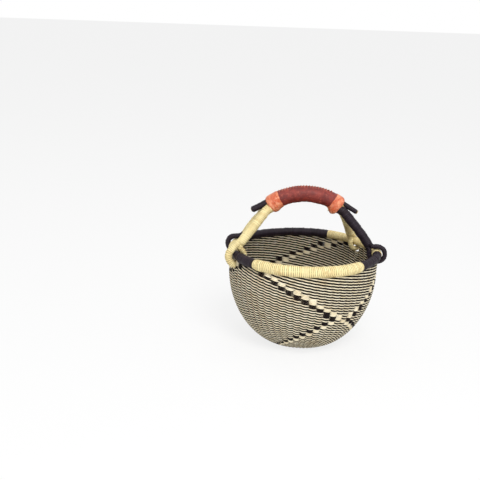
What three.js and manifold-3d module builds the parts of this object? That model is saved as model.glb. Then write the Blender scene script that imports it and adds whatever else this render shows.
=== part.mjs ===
// A round straw market basket with a leather grip, as separate pieces. Millimetres, +Z up.
// The origin is the centre of the underside, X runs along the handle and -Y is the front.
import * as THREE from "three";
import { mergeVertices } from "three/addons/utils/BufferGeometryUtils.js";
import Module from "manifold-3d";

const wasm = await Module();
wasm.setup();

// Air between neighbouring pieces
const gap = 0.3;

// Bowl
const rimHeight = 172; // middle of the rim above the table
const rimRadius = 131; // middle line of the rim
const rimBulge = 4.5; // how far the handle has drawn the rim out at the front right loop
const bulgeAzimuth = -3;
const bulgeWidth = 24; // degrees from the middle of the bulge to where it has mostly gone
const bellyOverhang = 6; // how far the widest part of the wall stands out past the rim's middle line
const baseRadius = 51; // flat that the bowl stands on
const wallThickness = 6;
const bellyHeightShare = 0.8; // of the rim height
const footRoundness = 0.625; // how fast the wall turns up from the base
const lipThickness = 4; // top edge of the wall, held inside the rim
const lipRise = 1; // how far the lip reaches past the middle of the rim
const stakes = 60; // that the straw is woven round
const stakeRidge = 1.8; // how far the weave stands out over a stake
const stakeShift = -0.7; // degrees round from +X to the nearest stake
const ridgeStartShare = 0.12; // of the height of the widest part, where the ridges have come up

// Rim
const rimCoreThickness = 10.8;
const rimThickness = 15.6; // over the wrapping
const frontRimThickness = 19.6; // the natural length at the front is wrapped thicker
const frontWrapStart = -133.8; // degrees round from +X
// Lengths of the six wraps, anticlockwise from the start of the front one
const frontWrapShare = 91.3;
const rightWrapShare = 42.5;
const backRightWrapShare = 65;
const backWrapShare = 85;
const backLeftWrapShare = 48;
const leftWrapShare = 28.2;

// Handle rope and what is wound on it
const ropeThickness = 7.2;
const loopWrapThickness = 1;
const legWrapThickness = 0.95;
const leftTailWrapThickness = 2.2;
const rightTailWrapThickness = 0.85;
const loopPlay = 2.2; // room between a loop and the rim inside it
const eyeletGap = 0.6; // between a loop and the wall that it goes through, wherever it has rocked to
const armPlay = 1; // room between the thick arm of the front left loop and the side of the rim
const rockAngle = 1.2; // degrees each way that the play allows
const frontLeftArmThickness = 14; // the outer arm of this loop is wound as thick as a leg
const tailLength = 34;
const tailBendShare = 1 / 3; // of its length, where a tail starts to lift
const leftTailLift = 10; // degrees that it stands up from the line of the grip
const rightTailLift = 4;

// Where the loops hold the rim, in degrees round from +X
const frontLeftAzimuth = 200;
const backLeftAzimuth = 165;
const frontRightAzimuth = -3;
const backRightAzimuth = 36;

// Grip
const gripArcRadius = 110.4;
const gripRise = 107.8; // top of the grip's middle line above the rim
const gripTurn = -1.2; // degrees that the grip is turned to the left over the bowl
const gripHalfAngle = 35.5;
const sleeveHalfAngle = 25.2;
const bindingThickness = 1.6;
const leatherThickness = 2.7;
const laceThickness = 2.2;
const laceAngleShare = 0.94; // of the sleeve's length

// Legs
const legTopBowShare = 0.2; // how far the bend at the grip reaches along a leg
const legLowBowShare = 0.32; // how far the bend at the rim does
const legTilt = 18; // degrees that a leg turns down from the line of the grip where it leaves it
const legSag = 4.5; // how far the wrapping hangs under the rope there
const legUprightShare = 0.28; // how much steeper a leg is at the rim than straight
const frontLeftUprightShare = -0.05;

// Where a leg parts into its two arms, from the middle of the rim, over the loop's radius
const neckInShare = 1.1;
const neckUpShare = 1.07;
const frontLeftNeckInShare = 0.27;
const frontLeftNeckUpShare = 1.37;
const backLeftNeckShare = 1.27; // both in and up
// Degrees from the top of a loop to where each arm joins its round
const outerJoinAngle = 10;
const frontLeftOuterJoinAngle = 50;
const backLeftOuterJoinAngle = 40;
const innerJoinAngle = 80;
const neckBendShare = 0.4; // how far the bend of a neck reaches along it

// Fineness of the forms
const roundSteps = 48;
const wallSteps = 7;
const bellySteps = 2;
const rimSides = 12;
const coreSides = 6;
const ropeSides = 6;
const loopSides = 8;
const legSides = 12;
const gripSides = 16;
const gripSteps = 6;
const legSteps = 5;
const neckSteps = 2;
const loopSteps = 6; // in half a loop
const tailSteps = 2;
const endSteps = 2; // along a cuff, and along the cutter at the end of the grip

// How far a cutter runs past what it cuts, over its size
const cutterReach = 2;
const strands = 5; // of rope side by side in the grip

const radians = THREE.MathUtils.degToRad;
const up = new THREE.Vector3(0, 0, 1);
const front = new THREE.Vector3(0, -1, 0);
const middle = new THREE.Vector3(0, 0, rimHeight);

// Solids

function solidOf(geometry) {
  const bare = geometry.clone();
  bare.deleteAttribute("normal");
  bare.deleteAttribute("uv");
  const merged = mergeVertices(bare);
  return new wasm.Manifold(
    new wasm.Mesh({
      numProp: 3,
      vertProperties: merged.attributes.position.array,
      triVerts: new Uint32Array(merged.index.array),
    }),
  );
}

function geometryOf(solid) {
  const mesh = solid.getMesh();
  const geometry = new THREE.BufferGeometry();
  geometry.setAttribute("position", new THREE.BufferAttribute(mesh.vertProperties, 3));
  geometry.setIndex(new THREE.BufferAttribute(mesh.triVerts, 1));
  geometry.computeVertexNormals();
  return geometry;
}

// How far the rim and the wall under it stand out from a true circle at a direction, in radians.
function bulgeAt(angle, height) {
  const away = Math.atan2(Math.sin(angle - radians(bulgeAzimuth)), Math.cos(angle - radians(bulgeAzimuth)));
  const near = Math.exp(-((away / radians(bulgeWidth)) ** 2));
  const above = THREE.MathUtils.clamp((height - bellyHeight) / (shoulderHeight - bellyHeight), 0, 1);
  return rimBulge * near * above ** 2;
}

// How far the weave stands out over a stake at a height: not at all on the base or under the rim.
function ridgeAt(height) {
  const start = THREE.MathUtils.clamp(height / (bellyHeight * ridgeStartShare), 0, 1);
  const end = THREE.MathUtils.clamp((shoulderHeight - height) / (shoulderHeight - bellyHeight), 0, 1);
  return stakeRidge * start * end;
}

// Turns a profile of (radius, height) points round the Z axis and draws it out at the bulge. A ridged one is
// drawn in between the stakes.
function turned(points, ridged = false) {
  const outline = THREE.ShapeUtils.area(points) > 0 ? points : [...points].reverse();
  const shift = radians(ridged ? stakeShift : 0);
  const geometry = new THREE.LatheGeometry(outline, ridged ? 2 * stakes : roundSteps, shift);
  geometry.rotateX(Math.PI / 2);
  const places = geometry.attributes.position;
  for (let i = 0; i < places.count; i++) {
    const point = new THREE.Vector3().fromBufferAttribute(places, i);
    const radius = Math.hypot(point.x, point.y);
    if (radius > 0) {
      const angle = Math.atan2(point.y, point.x);
      const dip = ridged ? (ridgeAt(point.z) * (1 - Math.cos(stakes * (angle - shift)))) / 2 : 0;
      const share = 1 + (bulgeAt(angle, point.z) - dip) / radius;
      places.setXY(i, point.x * share, point.y * share);
    }
  }
  return solidOf(geometry);
}

// A ring of round section about the rim's middle line.
function rimRing(radius, sides) {
  const points = [];
  for (let i = 0; i <= sides; i++) {
    const angle = ((i % sides) / sides) * 2 * Math.PI;
    points.push(
      new THREE.Vector2(rimRadius + radius * Math.cos(angle), rimHeight + radius * Math.sin(angle)),
    );
  }
  return turned(points);
}

// A curve that stops exactly at each of the points it is given, so that a sweep can be finer in bends.
class StationCurve extends THREE.Curve {
  constructor(points) {
    super();
    this.points = points;
  }

  getPointAt(share, target = new THREE.Vector3()) {
    return target.copy(this.points[Math.round(share * (this.points.length - 1))]);
  }

  direction(from, to) {
    return this.points[to].clone().sub(this.points[from]).normalize();
  }

  // At an end the direction carries the bend on past the last chord, so that the end is cut square.
  getTangentAt(share, target = new THREE.Vector3()) {
    const last = this.points.length - 1;
    const at = Math.round(share * last);
    if (at > 0 && at < last) {
      return target.copy(this.direction(at - 1, at + 1));
    }
    const [near, far] = at === 0 ? [0, 2] : [last - 1, last - 2];
    const chord = this.direction(near, near + 1);
    const bend = this.direction(Math.min(near, far), Math.min(near, far) + 2);
    return target.copy(chord.multiplyScalar(2).sub(bend)).normalize();
  }

  // Sections are set by the front direction, which no piece of the handle runs along, so that a piece and
  // the cutter made for it have their corners at the same places.
  computeFrenetFrames(segments) {
    const frames = { tangents: [], normals: [], binormals: [] };
    for (let i = 0; i <= segments; i++) {
      const tangent = this.getTangentAt(i / segments);
      const binormal = tangent.clone().cross(front).normalize();
      frames.tangents.push(tangent);
      frames.normals.push(binormal.clone().cross(tangent));
      frames.binormals.push(binormal);
    }
    return frames;
  }
}

// A round bar along the points.
function bar(points, radius, sides) {
  const section = new THREE.Shape().absarc(0, 0, radius, 0, 2 * Math.PI);
  return solidOf(
    new THREE.ExtrudeGeometry(section, {
      steps: points.length - 1,
      curveSegments: sides / 2,
      extrudePath: new StationCurve(points),
    }),
  );
}

// Bowl

const frontRimRadius = frontRimThickness / 2;
const thinRimRadius = rimThickness / 2;
const rimCoreRadius = rimCoreThickness / 2;
const bellyHeight = rimHeight * bellyHeightShare;
const bellyRadius = rimRadius + bellyOverhang;
const shoulderHeight = rimHeight - thinRimRadius - gap;
const shoulderRadius = rimRadius + wallThickness / 2;

function outerRadiusAt(height) {
  if (height > bellyHeight) {
    const above = (height - bellyHeight) / (shoulderHeight - bellyHeight);
    return bellyRadius - (bellyRadius - shoulderRadius) * above * above;
  }
  const below = 1 - height / bellyHeight;
  return baseRadius + (bellyRadius - baseRadius) * (1 - below * below) ** footRoundness;
}

// The outside of the wall from the axis to the shoulder under the rim.
function wallOutline() {
  const points = [new THREE.Vector2(0, 0)];
  for (let i = 0; i <= wallSteps; i++) {
    const height = bellyHeight * (i / wallSteps) ** 2;
    points.push(new THREE.Vector2(outerRadiusAt(height), height));
  }
  for (let i = 1; i <= bellySteps; i++) {
    const height = bellyHeight + (shoulderHeight - bellyHeight) * (i / bellySteps);
    points.push(new THREE.Vector2(outerRadiusAt(height), height));
  }
  return points;
}

// The outline moved into the wall by depth, or out of it where depth is below zero.
function wallOffset(outline, depth) {
  return outline.map((point, i) => {
    const before = outline[Math.max(i - 1, 0)];
    const after = outline[Math.min(i + 1, outline.length - 1)];
    const along = new THREE.Vector2().subVectors(after, before).normalize();
    const radius = i === 0 ? 0 : point.x - along.y * depth;
    return new THREE.Vector2(radius, point.y + along.x * depth);
  });
}

// The wall and base, grown by grow on every side when it serves as a cutter.
function wallSolid(grow) {
  const outline = wallOutline();
  const shoulder = shoulderHeight + grow;
  const lip = lipThickness / 2 + grow;
  const lipFoot = shoulderHeight - lipThickness;
  const lipTop = rimHeight + lipRise + grow;
  const mouth = shoulderRadius - wallThickness - grow;
  const body = [
    ...wallOffset(outline, -grow),
    new THREE.Vector2(shoulderRadius + grow, shoulder),
    new THREE.Vector2(0, shoulder),
  ];
  const ring = [
    new THREE.Vector2(rimRadius + lip, lipFoot),
    new THREE.Vector2(rimRadius + lip, lipTop),
    new THREE.Vector2(rimRadius - lip, lipTop),
    new THREE.Vector2(rimRadius - lip, lipFoot),
    new THREE.Vector2(rimRadius + lip, lipFoot),
  ];
  const inside = [
    ...wallOffset(outline, wallThickness + grow),
    new THREE.Vector2(mouth, lipTop + lipThickness),
    new THREE.Vector2(0, lipTop + lipThickness),
  ];
  return turned(body, true).subtract(turned(inside)).add(turned(ring));
}

// A slice of the rim's surroundings between two directions, in radians round from +X.
function slice(start, end) {
  const reach = cutterReach * rimRadius;
  const shape = new THREE.Shape();
  shape.moveTo(0, 0);
  shape.lineTo(reach * Math.cos(start), reach * Math.sin(start));
  shape.absarc(0, 0, reach, start, end, false);
  shape.lineTo(0, 0);
  const depth = cutterReach * frontRimThickness;
  const geometry = new THREE.ExtrudeGeometry(shape, { depth, bevelEnabled: false });
  return solidOf(geometry.translate(0, 0, rimHeight - depth / 2));
}

const wallCutter = wallSolid(gap);
const coreCutter = rimRing(rimCoreRadius + gap, coreSides);

function rimWraps() {
  const plan = [
    ["rim_wrap_front", frontWrapShare, frontRimRadius],
    ["rim_wrap_right", rightWrapShare, thinRimRadius],
    ["rim_wrap_back_right", backRightWrapShare, thinRimRadius],
    ["rim_wrap_back", backWrapShare, thinRimRadius],
    ["rim_wrap_back_left", backLeftWrapShare, thinRimRadius],
    ["rim_wrap_left", leftWrapShare, thinRimRadius],
  ];
  const shares = plan.reduce((sum, [, share]) => sum + share, 0);
  const seam = gap / rimRadius / 2;
  let start = radians(frontWrapStart);
  return plan.map(([name, share, radius]) => {
    const end = start + (2 * Math.PI * share) / shares;
    const solid = rimRing(radius, rimSides)
      .intersect(slice(start + seam, end - seam))
      .subtract(coreCutter)
      .subtract(wallCutter);
    start = end;
    return [name, solid];
  });
}

// Paths of the rope

const ropeRadius = ropeThickness / 2;
const ropePitch = ropeThickness + gap; // between two strands side by side
const bundleRadius = ropePitch / 2 / Math.sin(Math.PI / strands); // of the ring of strands
const loopBarRadius = ropeRadius + loopWrapThickness;
const loopRadius = thinRimRadius + loopPlay + loopBarRadius;
const legRadius = ropePitch / 2 + ropeRadius + gap + legWrapThickness;
const leftTailRadius = ropeRadius + leftTailWrapThickness;
const rightTailRadius = ropeRadius + rightTailWrapThickness;
const frontLeftArmRadius = frontLeftArmThickness / 2;
const gripAngle = radians(gripHalfAngle);
const gripCentre = new THREE.Vector3(0, 0, rimHeight + gripRise - gripArcRadius);

const turnedBy = (angle) => angle + radians(gripTurn);
const outwardAt = (angle) => new THREE.Vector3(Math.sin(turnedBy(angle)), 0, Math.cos(turnedBy(angle)));
const alongAt = (angle) => new THREE.Vector3(Math.cos(turnedBy(angle)), 0, -Math.sin(turnedBy(angle)));

function gripPoint(angle) {
  return gripCentre.clone().addScaledVector(outwardAt(angle), gripArcRadius);
}

// Points along the grip's middle line from one angle to another.
function gripLine(from, to, steps) {
  return Array.from({ length: steps + 1 }, (_, i) => gripPoint(from + ((to - from) * i) / steps));
}

// Where a strand lies in the grip. The ring of strands turns by one place over the grip's length, so that the
// tail is on top at both ends.
function strandPoint(place, angle) {
  const turn = (angle + gripAngle) / (2 * gripAngle);
  const round = ((place + turn) / strands) * 2 * Math.PI;
  return gripPoint(angle)
    .addScaledVector(outwardAt(angle), bundleRadius * Math.cos(round))
    .addScaledVector(front, bundleRadius * Math.sin(round));
}

function strandInGrip(place, leftToRight) {
  const points = [];
  for (let i = 0; i <= gripSteps; i++) {
    points.push(strandPoint(place, gripAngle * ((2 * i) / gripSteps - 1)));
  }
  return leftToRight ? points : points.reverse();
}

// Everything about one leg. plan.side is -1 at the left end of the grip and 1 at the right end. plan.upper
// and plan.lower are the places of its two strands there, plan.neckIn and plan.neckUp say where it parts
// into the two arms of its loop, plan.outerJoin where the outer one reaches its round, plan.armRadius how
// thick that arm is, and plan.outRadius and plan.lowRadius how far out and down from the rim it lies.
function legOf(plan) {
  const angle = radians(plan.azimuth);
  const upper = strandPoint(plan.upper, plan.side * gripAngle);
  const lower = strandPoint(plan.lower, plan.side * gripAngle);
  const top = upper.clone().add(lower).multiplyScalar(1 / 2);
  const leave = tiltedFromGrip(plan.side, -legTilt);
  const spreadTop = upper.clone().sub(lower).normalize();
  const outward = new THREE.Vector3(Math.cos(angle), Math.sin(angle), 0);
  const centre = outward.clone().multiplyScalar(rimRadius + bulgeAt(angle, rimHeight)).add(middle);
  const neck = centre
    .clone()
    .addScaledVector(outward, -plan.neckIn * loopRadius)
    .addScaledVector(up, plan.neckUp * loopRadius);
  const rise = top.clone().sub(neck).normalize().addScaledVector(up, plan.upright).normalize();
  const spread = outward.clone().addScaledVector(rise, -outward.dot(rise)).normalize();
  const length = neck.distanceTo(top);
  const line = new THREE.CubicBezierCurve3(
    top,
    top.clone().addScaledVector(leave, legTopBowShare * length),
    neck.clone().addScaledVector(rise, legLowBowShare * length),
    neck,
  );
  return { ...plan, centre, outward, rise, spread, spreadTop, line };
}

// The direction out of an end of the grip, lifted by some degrees.
function tiltedFromGrip(side, degrees) {
  const leave = alongAt(side * gripAngle).multiplyScalar(side);
  return leave.applyAxisAngle(front, side * radians(degrees));
}

// A point of a strand on a leg: hand is 1 for the upper strand, -1 for the lower one, 0 for the middle.
function legPoint(leg, share, hand) {
  const along = leg.line.getTangent(share);
  const across = leg.spreadTop.clone().lerp(leg.spread, share);
  across.addScaledVector(along, -across.dot(along)).normalize();
  return leg.line.getPoint(share).addScaledVector(across, (hand * ropePitch) / 2);
}

function legStrand(leg, hand) {
  return Array.from({ length: legSteps + 1 }, (_, i) => legPoint(leg, i / legSteps, hand));
}

// A point of the loop by its angle from the top, outside the rim for hand 1 and inside it for hand -1.
function loopPoint(leg, angle, hand) {
  const reach = hand > 0 ? leg.outRadius : loopRadius;
  const height = Math.cos(angle) > 0 ? loopRadius : leg.lowRadius;
  return leg.centre
    .clone()
    .addScaledVector(up, height * Math.cos(angle))
    .addScaledVector(leg.outward, hand * reach * Math.sin(angle));
}

const joinAngle = (leg, hand) => radians(hand > 0 ? leg.outerJoin : innerJoinAngle);

// From the end of a leg strand to where it joins the loop, without its two end points.
function neckStrand(leg, hand) {
  const angle = joinAngle(leg, hand);
  const start = legPoint(leg, 1, hand);
  const end = loopPoint(leg, angle, hand);
  const reach = start.distanceTo(end) * neckBendShare;
  const arrive = up
    .clone()
    .multiplyScalar(-Math.sin(angle))
    .addScaledVector(leg.outward, hand * Math.cos(angle));
  const line = new THREE.CubicBezierCurve3(
    start,
    start.clone().addScaledVector(leg.rise, -reach),
    end.clone().addScaledVector(arrive, -reach),
    end,
  );
  return line.getPoints(neckSteps).slice(1, -1);
}

// From the join on the side of hand to the bottom.
function loopStrand(leg, hand) {
  const first = joinAngle(leg, hand);
  return Array.from({ length: loopSteps + 1 }, (_, i) =>
    loopPoint(leg, first + ((Math.PI - first) * i) / loopSteps, hand),
  );
}

// Down one strand of a leg to the bottom of its loop.
function downLeg(leg, hand) {
  return [...legStrand(leg, hand), ...neckStrand(leg, hand), ...loopStrand(leg, hand)];
}

// From the end of the grip out along a tail.
function tailLine(side) {
  const start = strandPoint(side < 0 ? 0 : strands - 1, side * gripAngle);
  const bendReach = tailLength * tailBendShare;
  const bend = start.clone().addScaledVector(tiltedFromGrip(side, 0), bendReach);
  const lift = side < 0 ? leftTailLift : rightTailLift;
  const end = bend.clone().addScaledVector(tiltedFromGrip(side, lift), tailLength - bendReach);
  return new THREE.QuadraticBezierCurve3(start, bend, end);
}

const plainNeck = {
  neckIn: neckInShare,
  neckUp: neckUpShare,
  outerJoin: outerJoinAngle,
  upright: legUprightShare,
  armRadius: loopBarRadius,
  outRadius: loopRadius,
  lowRadius: loopRadius,
};
// The front left leg lies over the rim and runs on into its outer arm.
const overRimNeck = {
  neckIn: frontLeftNeckInShare,
  neckUp: frontLeftNeckUpShare,
  outerJoin: frontLeftOuterJoinAngle,
  upright: frontLeftUprightShare,
  armRadius: frontLeftArmRadius,
  outRadius: thinRimRadius + armPlay + frontLeftArmRadius,
  lowRadius: thinRimRadius + loopPlay + frontLeftArmRadius,
};
const slackNeck = {
  ...plainNeck,
  neckIn: backLeftNeckShare,
  neckUp: backLeftNeckShare,
  outerJoin: backLeftOuterJoinAngle,
};
const frontLeft = legOf({ ...overRimNeck, side: -1, azimuth: frontLeftAzimuth, upper: 1, lower: 2 });
const backLeft = legOf({ ...slackNeck, side: -1, azimuth: backLeftAzimuth, upper: 4, lower: 3 });
const frontRight = legOf({ ...plainNeck, side: 1, azimuth: frontRightAzimuth, upper: 0, lower: 1 });
const backRight = legOf({ ...plainNeck, side: 1, azimuth: backRightAzimuth, upper: 3, lower: 2 });
const legs = { front_left: frontLeft, back_left: backLeft, front_right: frontRight, back_right: backRight };

// The whole rope as runs, each of which begins where the one before it ends.
function ropeRuns() {
  return [
    tailLine(-1).getPoints(tailSteps).reverse(),
    strandInGrip(0, true),
    downLeg(frontRight, 1),
    downLeg(frontRight, -1).reverse(),
    strandInGrip(1, false),
    downLeg(frontLeft, 1),
    downLeg(frontLeft, -1).reverse(),
    strandInGrip(2, true),
    downLeg(backRight, -1),
    downLeg(backRight, 1).reverse(),
    strandInGrip(3, false),
    downLeg(backLeft, -1),
    downLeg(backLeft, 1).reverse(),
    strandInGrip(4, true),
    tailLine(1).getPoints(tailSteps),
  ];
}

function joinedRuns(runs) {
  return runs.flatMap((run, i) => (i === 0 ? run : run.slice(1)));
}

// The rope grown by the gap. It is joined from its runs, each a station longer at both ends, because the
// grown rope would touch itself where strands lie side by side.
function ropeSpace() {
  const runs = ropeRuns();
  const points = joinedRuns(runs);
  let at = 0;
  const bars = runs.map((run) => {
    const from = Math.max(at - 1, 0);
    at += run.length - 1;
    return bar(points.slice(from, at + 2), ropeRadius + gap, ropeSides);
  });
  return bars.reduce((whole, one) => whole.add(one));
}

// Handle pieces

const bindingRadius = bundleRadius + ropeRadius + gap + bindingThickness;
const leatherBore = bindingRadius + gap;
const gripRadius = leatherBore + leatherThickness;
const sleeveAngle = radians(sleeveHalfAngle);
const seamAngle = gap / gripArcRadius;

const rope = bar(joinedRuns(ropeRuns()), ropeRadius, ropeSides);
const ropeCutter = ropeSpace();

// A line made longer at its end, or shorter where reach is below zero.
function stretched(points, reach) {
  const [before, last] = points.slice(-2);
  const step = last.clone().sub(before);
  return [...points.slice(0, -1), last.clone().addScaledVector(step, reach / step.length())];
}

// A line that begins the gap further on, so that a wrap stands clear of what it starts from.
function begunLater(points) {
  return stretched([...points].reverse(), -gap).reverse();
}

// The half of space in front of or behind the handle's middle plane, kept clear by the gap.
function behindMiddle(side) {
  const reach = cutterReach * rimRadius;
  const box = new THREE.BoxGeometry(2 * reach, 2 * reach, 2 * reach);
  return solidOf(box.translate(0, side * (reach - gap / 2), rimHeight));
}

function tailBar(side, grow) {
  const radius = side < 0 ? leftTailRadius : rightTailRadius;
  return bar(begunLater(tailLine(side).getPoints(tailSteps)), radius + grow, loopSides);
}

function tailWrap(side) {
  return tailBar(side, 0).subtract(ropeCutter);
}

// The end of the grip, wide enough to cut a leg off square just outside it.
function gripEnd(side) {
  const line = gripLine(side * sleeveAngle, side * (gripAngle + seamAngle), endSteps);
  return bar(line, gripRadius + legRadius, gripSides);
}

// The middle line of a leg's wrapping. It starts under the rope, clear of the tail.
function legLine(leg) {
  const [first, ...rest] = legStrand(leg, 0);
  return [first.addScaledVector(outwardAt(leg.side * gripAngle), -legSag), ...rest];
}

function legWrap(leg, frontLeg) {
  return bar(legLine(leg), legRadius, legSides)
    .subtract(gripEnd(leg.side))
    .subtract(behindMiddle(frontLeg ? 1 : -1))
    .subtract(tailBar(leg.side, gap))
    .subtract(ropeCutter);
}

// One arm of a loop, from the end of the leg to the bottom.
function armLine(leg, hand) {
  return [legPoint(leg, 1, hand), ...neckStrand(leg, hand), ...loopStrand(leg, hand)];
}

// Both arms of a loop. The inner one runs one station past the bottom into the outer one.
function loopBody(leg, grow, line = armLine, degrees = 0) {
  const inner = [...line(leg, -1), loopStrand(leg, 1)[loopSteps - 1]];
  const outer = stretched(line(leg, 1), grow);
  const moved = (points) => points.map((point) => rocked(point, degrees));
  return bar(moved(outer), leg.armRadius + grow, loopSides).add(
    bar(moved(inner), loopBarRadius + grow, loopSides),
  );
}

// Where a point goes when the handle rocks.
function rocked(point, degrees) {
  return point.clone().sub(middle).applyAxisAngle(new THREE.Vector3(1, 0, 0), radians(degrees)).add(middle);
}

function loopWrap(leg) {
  const legSpace = bar(stretched(legLine(leg), gap), legRadius + gap, legSides);
  return loopBody(leg, 0).subtract(legSpace).subtract(ropeCutter);
}

// What the round of a loop sweeps as the handle rocks, with room about it.
function eyelet(leg) {
  const swept = [-rockAngle, 0, rockAngle].map((degrees) => loopBody(leg, eyeletGap, loopStrand, degrees));
  return swept.reduce((whole, one) => whole.add(one));
}

function gripBar(from, to, radius, steps) {
  return bar(gripLine(from, to, steps), radius, gripSides);
}

const bindingCutter = gripBar(-gripAngle - seamAngle, gripAngle + seamAngle, leatherBore, gripSteps);

function laceLine() {
  const end = sleeveAngle * laceAngleShare;
  return Array.from({ length: gripSteps + 1 }, (_, i) => {
    const angle = end * ((2 * i) / gripSteps - 1);
    return gripPoint(angle).addScaledVector(outwardAt(angle), gripRadius);
  });
}

// The lace's groove runs on past both of its ends.
function laceCutter() {
  const line = laceLine();
  const [first, second] = line;
  const last = line[line.length - 1];
  const before = line[line.length - 2];
  const reach = gap / first.distanceTo(second);
  const start = first.clone().lerp(second, -reach);
  const end = last.clone().lerp(before, -reach);
  return bar([start, ...line, end], laceThickness / 2 + gap, ropeSides);
}

function sleeve() {
  return gripBar(-sleeveAngle, sleeveAngle, gripRadius, gripSteps)
    .subtract(bindingCutter)
    .subtract(laceCutter());
}

function cuff(side) {
  const from = side * (sleeveAngle + seamAngle);
  return gripBar(from, side * gripAngle, gripRadius, endSteps).subtract(bindingCutter);
}

// The part

const naturalStraw = { color: 0xd8c48a, roughness: 0.75, metalness: 0 };
const blackStraw = { color: 0x26202a, roughness: 0.6, metalness: 0 };
const stripedStraw = { color: 0x857762, roughness: 0.8, metalness: 0 };
const coreStraw = { color: 0xb9a26a, roughness: 0.9, metalness: 0 };
const redLeather = { color: 0x7c2b2b, roughness: 0.5, metalness: 0 };
const orangeLeather = { color: 0xd9603a, roughness: 0.5, metalness: 0 };
const laceLeather = { color: 0x9a4a35, roughness: 0.6, metalness: 0 };

const basket = new THREE.Group();

function place(name, solid, look) {
  const mesh = new THREE.Mesh(geometryOf(solid), new THREE.MeshStandardMaterial(look));
  mesh.name = name;
  basket.add(mesh);
}

const eyelets = Object.values(legs).map(eyelet);
place("woven_bowl", eyelets.reduce((wall, hole) => wall.subtract(hole), wallSolid(0)), stripedStraw);
place("rim_core", rimRing(rimCoreRadius, coreSides).subtract(wallCutter), coreStraw);
const blackRim = new Set(["rim_wrap_right", "rim_wrap_back", "rim_wrap_left"]);
for (const [name, solid] of rimWraps()) {
  place(name, solid, blackRim.has(name) ? blackStraw : naturalStraw);
}
place("handle_rope", rope, coreStraw);
for (const [name, leg] of Object.entries(legs)) {
  const look = leg === frontRight ? blackStraw : naturalStraw;
  place("leg_wrap_" + name, legWrap(leg, name.startsWith("front")), look);
  const loopLook = leg === frontRight || leg === backLeft ? blackStraw : naturalStraw;
  place("loop_wrap_" + name, loopWrap(leg), loopLook);
}
place("tail_wrap_left", tailWrap(-1), blackStraw);
place("tail_wrap_right", tailWrap(1), blackStraw);
const binding = gripBar(-gripAngle, gripAngle, bindingRadius, gripSteps).subtract(ropeCutter);
place("grip_binding", binding, coreStraw);
place("grip_leather", sleeve(), redLeather);
place("cuff_left", cuff(-1), orangeLeather);
place("cuff_right", cuff(1), orangeLeather);
place("grip_lace", bar(laceLine(), laceThickness / 2, ropeSides), laceLeather);

export default basket;
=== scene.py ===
"""A round straw market basket with a leather grip. Lengths are millimetres until a mesh is made."""

import math

import bpy
import numpy as np
from mathutils import Matrix, Vector


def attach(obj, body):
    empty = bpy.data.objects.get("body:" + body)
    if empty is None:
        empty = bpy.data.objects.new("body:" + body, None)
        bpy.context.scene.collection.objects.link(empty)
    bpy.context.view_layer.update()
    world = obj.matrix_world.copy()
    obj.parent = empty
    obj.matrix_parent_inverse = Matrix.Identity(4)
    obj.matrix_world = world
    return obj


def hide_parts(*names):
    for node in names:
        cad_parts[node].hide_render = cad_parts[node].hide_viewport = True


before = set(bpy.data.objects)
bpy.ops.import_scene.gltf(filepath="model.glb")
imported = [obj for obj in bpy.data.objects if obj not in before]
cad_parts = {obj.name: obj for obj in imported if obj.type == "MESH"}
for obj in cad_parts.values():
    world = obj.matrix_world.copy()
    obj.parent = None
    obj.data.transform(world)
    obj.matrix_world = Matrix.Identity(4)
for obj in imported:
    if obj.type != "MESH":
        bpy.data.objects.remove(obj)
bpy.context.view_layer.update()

MM = 0.001
FULL_TURN = 2 * math.pi
UP = np.array([0.0, 0.0, 1.0])
FRONT = np.array([0.0, -1.0, 0.0])
SIDES = {-1: "left", 1: "right"}
WHITE = (1, 1, 1, 1)

# Bowl, as the solids have it. The rim bulges outwards in one direction
RIM_HEIGHT = 172.0
RIM_RADIUS = 131.0
RIM_BULGE = 4.5
BULGE_AZIMUTH = math.radians(-3.0)
BULGE_WIDTH = math.radians(24.0)
BELLY_RADIUS = 137.0
BELLY_HEIGHT = 137.6
BASE_RADIUS = 51.0
WALL = 6.0
FOOT_ROUNDNESS = 0.625
SHOULDER_HEIGHT = 163.9
SHOULDER_RADIUS = 134.0
LIP_HEIGHT = 6.0

# Rim wraps: name, share of the round, radius of the section, black or not
RIM_START = math.radians(-133.8)
THIN_RIM = 7.8
FRONT_RIM = 9.8
RIM_PLAN = [
    ("rim_wrap_front", 91.3, FRONT_RIM, False),
    ("rim_wrap_right", 42.5, THIN_RIM, True),
    ("rim_wrap_back_right", 65.0, THIN_RIM, False),
    ("rim_wrap_back", 85.0, THIN_RIM, True),
    ("rim_wrap_back_left", 48.0, THIN_RIM, False),
    ("rim_wrap_left", 28.2, THIN_RIM, True),
]

# Openings that the loops go through: direction, height, half height and half width
EYELETS = [
    (200.0, 155.0, 8.2, 9.2),
    (165.0, 157.4, 6.6, 8.8),
    (-3.0, 157.4, 5.3, 8.0),
    (36.0, 157.4, 7.2, 9.6),
]

# Handle, as the solids have it
ROPE_RADIUS = 3.6
ROPE_PITCH = 7.5
STRANDS = 5
BUNDLE_RADIUS = ROPE_PITCH / 2 / math.sin(math.pi / STRANDS)
LOOP_BAR = 4.6
LOOP_RADIUS = 14.6
LEG_RADIUS = 8.6
LEG_SAG = 4.5
LEG_TILT = 18.0
TAIL_RADIUS = {-1: 5.8, 1: 4.45}
TAIL_LENGTH = 34.0
TAIL_LIFT = {-1: 10.0, 1: 4.0}
GRIP_ARC = 110.4
GRIP_RISE = 107.8
GRIP_CENTRE = np.array([0.0, 0.0, RIM_HEIGHT + GRIP_RISE - GRIP_ARC])
GRIP_TURN = math.radians(-1.2)
GRIP_ANGLE = math.radians(35.5)
GRIP_RADIUS = 14.88
SLEEVE_ANGLE = math.radians(25.2)
SEAM_ANGLE = 0.3 / GRIP_ARC

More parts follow.
